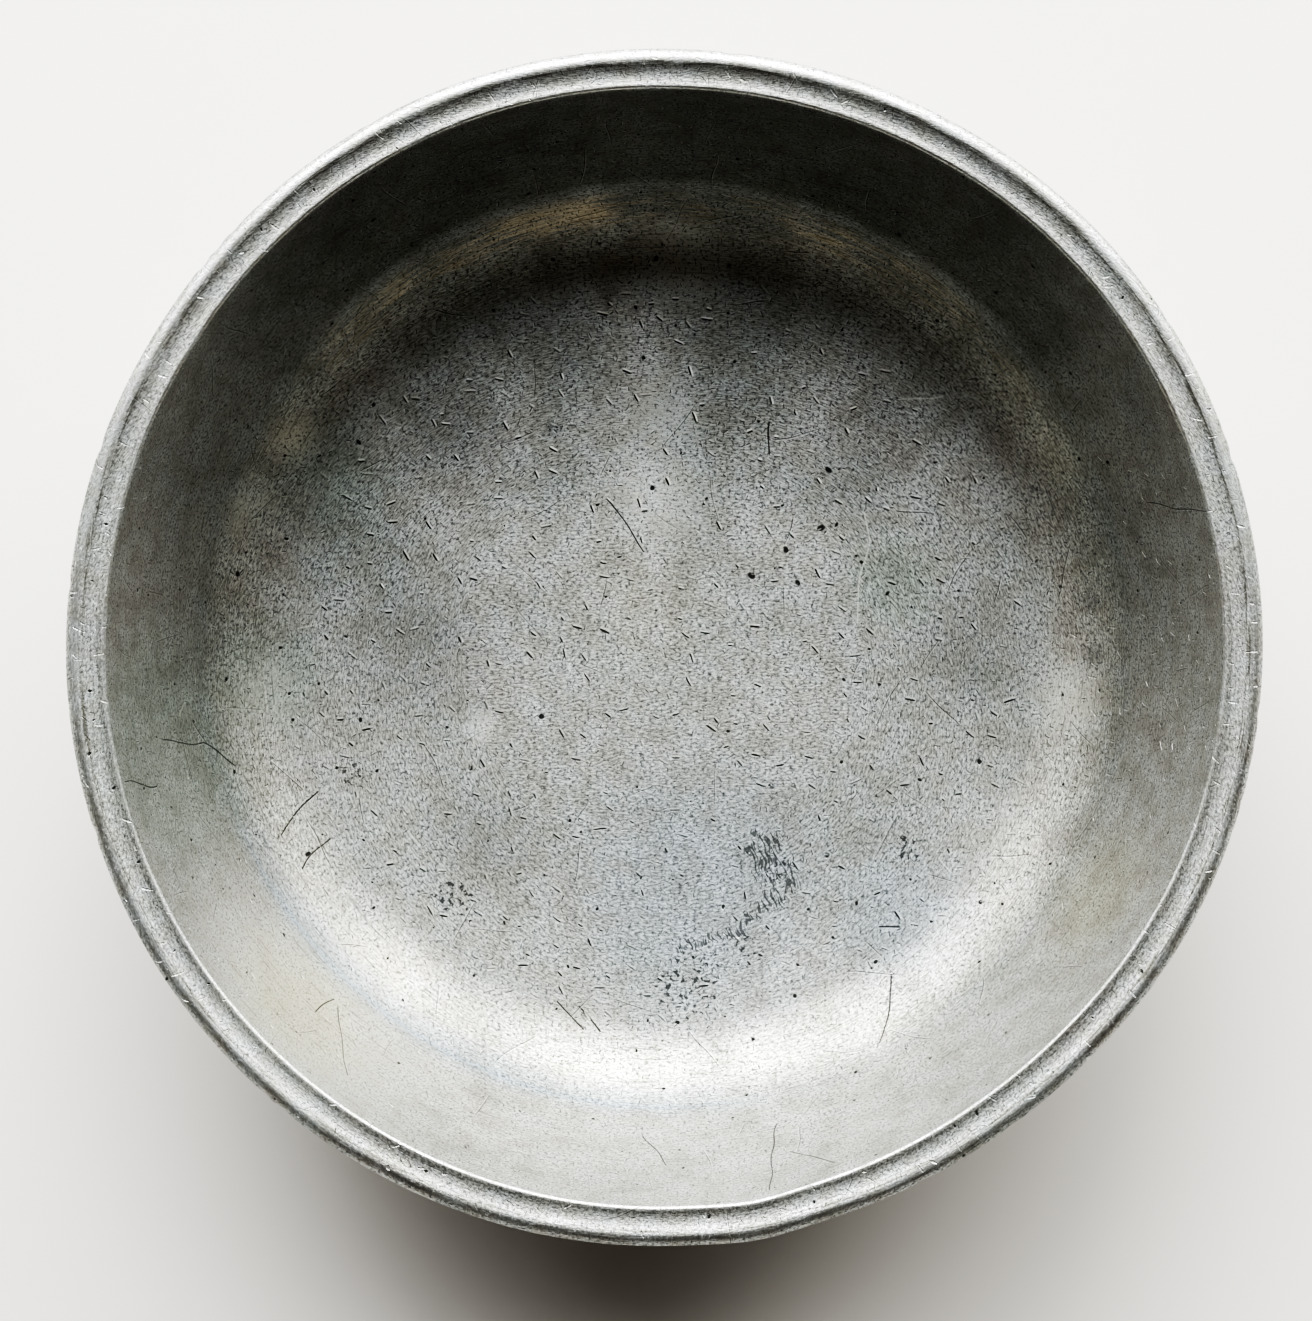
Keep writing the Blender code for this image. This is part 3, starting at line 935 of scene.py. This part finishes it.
def gleam_and_grime(tree, skin):
    """Adds a painted reflection where the far bouge gleams in streaks, with painted shade between the
    streaks, the grime, which is partly painted shade, and the rubbed edges.
    """
    # Streaks of painted reflection on the far bouge, with painted shade between them.
    uneven_shine = add(tree, "Math", (skin.lathe, 1.6, skin.clouds), operation="MULTIPLY_ADD")
    streaky = add(tree, "MapRange", (uneven_shine, 1.2, 1.5, 0.0, 1.0), **SOFTLY)
    seen = stain(tree, skin.place, *FAR_PAINTED_GLEAM_SEEN)
    far_bouge = joined(tree, "MULTIPLY", (skin.part["gleam"], seen))
    gleam = joined(tree, "MULTIPLY", (far_bouge, streaky))
    skin.dull_between = joined(tree, "SUBTRACT", (far_bouge, gleam))
    # Grime in the brim's creases, partly painted shade, and painted shade on the outer flank.
    caught = add(tree, "MapRange", (skin.patches, 0.35, 0.65, 0.0, 0.35))
    streaks = add(tree, "MapRange", (skin.lathe, 0.4, 0.6, 0.7, 0.0))
    grime = joined(tree, "MAXIMUM", ((skin.part["hollow's inner end"], caught),
                                     (skin.part["reed's foot"], streaks),
                                     (skin.part["flank"], streaks, 0.5)))
    rubbed = joined(tree, "MAXIMUM", (skin.part["crest"], skin.part["inner line"]))
    skin.gleam, skin.grime, skin.rubbed = gleam, grime, rubbed


def plain_tone(tree, skin):
    """How the grain, its worm-like lines, the lathe's lines and the cloudy patches vary the tone."""
    grain_tone = add(tree, "MapRange", (skin.grain, 0.3, 0.7, 0.46, 1.7))
    coarse = joined(tree, "MAXIMUM", (skin.part["floor"], skin.part["bouge"], skin.part["brim"]))
    grain_kept = add(tree, "MapRange", (coarse, 0.0, 1.0, 0.5, 1.0))
    from_line = joined(tree, "SUBTRACT", (skin.worms, 0.5))
    off_line = add(tree, "Math", (from_line,), operation="ABSOLUTE")
    worm = add(tree, "MapRange", (off_line, 0.01, 0.06, 0.45, 0.0))
    broken = add(tree, "MapRange", (skin.speckle, 0.42, 0.56, 0.0, 1.0))
    grained = layered(tree, 1.0, ((grain_kept, grain_tone), ((worm, broken), WORM_TONE)))
    lathe_tone = add(tree, "MapRange", (skin.lathe, 0.3, 0.7, 0.8, 1.2))
    lathe_kept = add(tree, "MapRange", (skin.part["floor"], 0.0, 1.0, 0.9, 0.35))
    turned = layered(tree, 1.0, ((lathe_kept, lathe_tone),))
    cloudy = add(tree, "MapRange", (skin.clouds, 0.3, 0.7, 0.9, 1.12))
    patchy = add(tree, "MapRange", (skin.patches, 0.3, 0.7, 0.84, 1.16))
    return joined(tree, "MULTIPLY", (grained, turned, cloudy, patchy))


def metal_tone(tree, skin, dark, bright):
    """How light the metal is, with what stains, grime and the marks do to it, and painted light and
    shade: highlights, the far gleam, and shade on the far side.
    """
    # Painted highlights lighten the inside.
    pale = stains(tree, skin.ragged, PAINTED_LIGHT_SPOTS), skin.within, 0.45
    tone = layered(tree, plain_tone(tree, skin), ((pale, PAINTED_LIGHT_TONE),))
    # Stains, and painted shade at the floor's edges and on the far bouge, darken the inside.
    dimmed = stains(tree, skin.ragged, DARK_STAINS_AND_PAINTED_SHADE), skin.within
    tone = layered(tree, tone, ((dimmed, STAIN_AND_SHADE_TONE),))
    # Painted shade on the far side darkens the side, and the brim's hollow less.
    darkened = joined(tree, "MAXIMUM", (skin.part["side"], (skin.part["hollow"], 0.6)))
    far_side_shade = joined(tree, "MULTIPLY", (darkened, stain(tree, skin.place, *FAR_SIDE_PAINTED_SHADE_SEEN)))
    left = add(tree, "MapRange", (far_side_shade, 0.0, 1.0, 1.0, FAR_SIDE_SHADE_TONE))
    tone = joined(tree, "MULTIPLY", (tone, left))
    # Painted shade and a painted gleam on the far bouge, then grime that is partly painted shade, then
    # the marks.
    return layered(tree, tone, (((skin.dull_between, 0.5), PAINTED_SHADE_BETWEEN_GLEAMS_TONE),
                                ((skin.gleam, 0.35), PAINTED_GLEAM_TONE), (skin.grime, GRIME_AND_SHADE_TONE),
                                (dark, GROOVE_TONE), (bright, BURR_AND_GLINT_TONE),
                                ((skin.rubbed, 0.3), RUBBED_TONE)))


def metal_colour(tree, skin):
    """Grey that is cooler in patches and warmer up the side, with the tints of the stains, and the warm
    and bluish tints of painted reflections.
    """
    colour = add(tree, "Mix", (skin.clouds, linear("999e99"), linear("a2a19c")), data_type="RGBA")
    cool = add(tree, "MapRange", (skin.patches, 0.4, 0.6, 0.0, 1.0))
    # The far gleam and the golden patch are painted reflections, tinted warm.
    golden = joined(tree, "MAXIMUM", (skin.gleam, stain(tree, skin.ragged, *GOLDEN_PAINTED_REFLECTION)))
    for tint, mask, strength in (("98a2ab", cool, 0.25), ("a19b8c", skin.part["bouge"], 0.3),
                                 ("a7a095", skin.part["side"], 0.3), ("a08a62", golden, 0.45)):
        colour = tinted(tree, colour, tint, mask, strength)
    for tint, places, strength in (("a3a07c", WARM_STAINS, 1.0), ("869389", GREEN_STAINS, 0.4),
                                   ("8f9cab", PAINTED_BLUE_REFLECTIONS, 0.3)):
        colour = tinted(tree, colour, tint, stains(tree, skin.ragged, places), strength)
    # A painted bluish reflection on the near bouge.
    ring = joined(tree, "MAXIMUM", ((skin.part["painted blue ring"], 0.6), skin.part["painted blue line"]))
    blue_reflection = joined(tree, "MULTIPLY", (ring, stain(tree, skin.place, *PAINTED_BLUE_REFLECTION_SEEN)))
    colour = tinted(tree, colour, "8090a0", blue_reflection, 0.5)
    # Grime that is partly painted shade tints the brim's creases and flank.
    return tinted(tree, colour, "6f6b58", skin.grime, 0.6)


def metal_roughness(tree, skin, dark, bright):
    """Satin, a little smoother on the brim, dull in the cuts and smooth where it is rubbed."""
    rough = layered(tree, SIDE_ROUGHNESS, ((skin.part["floor"], FLOOR_ROUGHNESS),
                                           (skin.part["brim"], BRIM_ROUGHNESS),
                                           (skin.rubbed, RUBBED_ROUGHNESS)))
    uneven = add(tree, "MapRange", (skin.clouds, 0.3, 0.7, 0.05, -0.05))
    rough = joined(tree, "ADD", (rough, uneven))
    return layered(tree, rough, ((dark, GROOVE_ROUGHNESS), (bright, BURR_ROUGHNESS)))


def metal_relief(tree, skin, sunk):
    """The lathe's lines, the grain and the cuts as relief too fine for the mesh."""
    height = joined(tree, "MULTIPLY", (skin.lathe, LATHE_RELIEF))
    for pattern, rise in ((skin.grain, GRAIN_RELIEF), (sunk, -CUT_DEPTH)):
        height = add(tree, "Math", (pattern, rise, height), operation="MULTIPLY_ADD")
    return add(tree, "Bump", {"Strength": 1.0, "Distance": MM, "Height": height})


def skimmed_pewter():
    """Cast pewter, skimmed on a lathe when new, then scoured and cut on for a lifetime.

    It gives the eye a soft grey satin: fine grain over the floor, the lathe's hair lines on the side,
    dark pits and cuts with a bright burr that is partly a painted glint, grime in the brim's hollow that
    is partly painted shade, and a shine on its reed. Painted highlights, a painted gleam on the far
    bouge, a painted bluish reflection and painted shade on the far side are in its colour too."""
    material = bpy.data.materials.new("skimmed_cast_pewter")
    material.use_nodes = True
    tree = material.node_tree
    shader = tree.nodes["Principled BSDF"]
    shader.inputs["Metallic"].default_value = 1.0
    skin = skin_fields(tree)
    dark, bright, sunk = wear_marks(tree, skin)
    gleam_and_grime(tree, skin)
    tone = metal_tone(tree, skin, dark, bright)
    colour = add(tree, "VectorMath", {"Vector": metal_colour(tree, skin), "Scale": tone},
                 operation="SCALE")
    rough = metal_roughness(tree, skin, dark, bright)
    bump = metal_relief(tree, skin, sunk)
    tree.links.new(colour.outputs["Vector"], shader.inputs["Base Color"])
    tree.links.new(rough.outputs["Result"], shader.inputs["Roughness"])
    tree.links.new(bump.outputs["Normal"], shader.inputs["Normal"])
    return material


# The plain floor: its radius in metres, the corners of its edge, and how far it lies under the base.
GROUND_RADIUS = 1.75
GROUND_CORNERS = 96
GROUND_GAP = 0.05 * MM

# Panes of soft light. The way to each, clockwise from the photograph's top, then its left and right
# side as shares of its distance, and its lower and upper edge above the floor, with angles in
# degrees. Last its distance in metres, its strength and its colour.
PANES = {
    "curtained_window": (0, -1.45, 1.5, 14, 64, 2.0, 5.3, (1, 1, 1)),
    "pane_left": (0, -0.68, 0.28, 13, 44, 1.9, 19.0, (1, 1, 1)),
    "pane_right": (0, 0.22, 1.4, 12, 27, 1.8, 18.5, (1, 0.98, 0.93)),
    "low_light_right": (90, -0.9, 0.9, 2, 12, 2.2, 1.0, (1, 0.96, 0.9)),
    "low_light_near": (180, -0.9, 0.9, 2, 12, 2.2, 1.6, (1, 0.96, 0.9)),
    "low_light_left": (270, -0.9, 0.9, 2, 12, 2.2, 1.0, (1, 0.96, 0.9)),
}
BACKDROP_GIVES, BACKDROP_SEEN = 0.05, 0.62


def pale_floor():
    """The plain floor that the basin stands on."""
    mesh = bpy.data.meshes.new("pale_floor")
    edge = round_arc((0, 0), GROUND_RADIUS, 0, 2 * math.pi, GROUND_CORNERS)[:-1]
    mesh.from_pydata([(x, y, 0) for x, y in edge], [], [range(GROUND_CORNERS)])
    material = bpy.data.materials.new("pale_matt_paint")
    material.use_nodes = True
    shader = material.node_tree.nodes["Principled BSDF"]
    shader.inputs["Base Color"].default_value = linear("cfcdc8")
    shader.inputs["Roughness"].default_value = 0.7
    mesh.materials.append(material)
    floor = placed("pale_floor", mesh)
    floor.location.z = -GROUND_GAP
    return floor


def window(name, side, left, right, low, high, distance, strength, colour):
    """One upright pane of soft light that faces the basin, with its sizes as the table gives them."""
    side, low, high = (math.radians(angle) for angle in (side, low, high))
    outwards = Vector((math.sin(side), math.cos(side), 0))
    sideways = Vector((math.cos(side), -math.sin(side), 0))
    bottom, top = distance * math.tan(low), distance * math.tan(high)
    width, height = (right - left) * distance, top - bottom
    light = bpy.data.lights.new(name, "AREA")
    light.shape = "RECTANGLE"
    light.size, light.size_y = width, height
    light.energy = strength * width * height * math.pi
    light.color = colour
    pane = placed(name, light)
    middle = outwards + sideways * (left + right) / 2
    pane.location = middle * distance + Vector((0, 0, (bottom + top) / 2))
    pane.rotation_euler = (-outwards).to_track_quat("-Z", "Y").to_euler()
    pane.visible_camera = False


def camera():
    """The photograph's camera: straight down, with the lens that gives its frame."""
    lens = bpy.data.cameras.new("camera")
    lens.sensor_width = SENSOR
    lens.lens = SENSOR * CAMERA_HEIGHT / (max(PHOTO_WIDTH, PHOTO_HEIGHT) * PX)
    lens.clip_start = 0.01
    eye = placed("camera", lens)
    eye.location = camera_place()
    bpy.context.scene.camera = eye


def studio():
    """Window light from the photograph's top, and a pale backdrop that gives next to no light."""
    for name, pane in PANES.items():
        window(name, *pane)
    world = bpy.data.worlds.new("backdrop")
    world.use_nodes = True
    tree = world.node_tree
    shade = tree.nodes["Background"]
    seen = add(tree, "LightPath").outputs["Is Camera Ray"]
    pale = add(tree, "MapRange", (seen, 0.0, 1.0, BACKDROP_GIVES, BACKDROP_SEEN))
    hue = add(tree, "Mix", (seen, linear("c8a67e"), linear("f2f1ee")), data_type="RGBA")
    tree.links.new(pale.outputs["Result"], shade.inputs["Strength"])
    tree.links.new(hue.outputs["Result"], shade.inputs["Color"])
    bpy.context.scene.world = world
    bpy.context.scene.view_settings.view_transform = "AgX"
    bpy.context.scene.view_settings.look = "AgX - Very High Contrast"


camera()
studio()
pale_floor()
basin = turned_basin(skimmed_pewter())
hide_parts("basin")
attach(basin, "root")
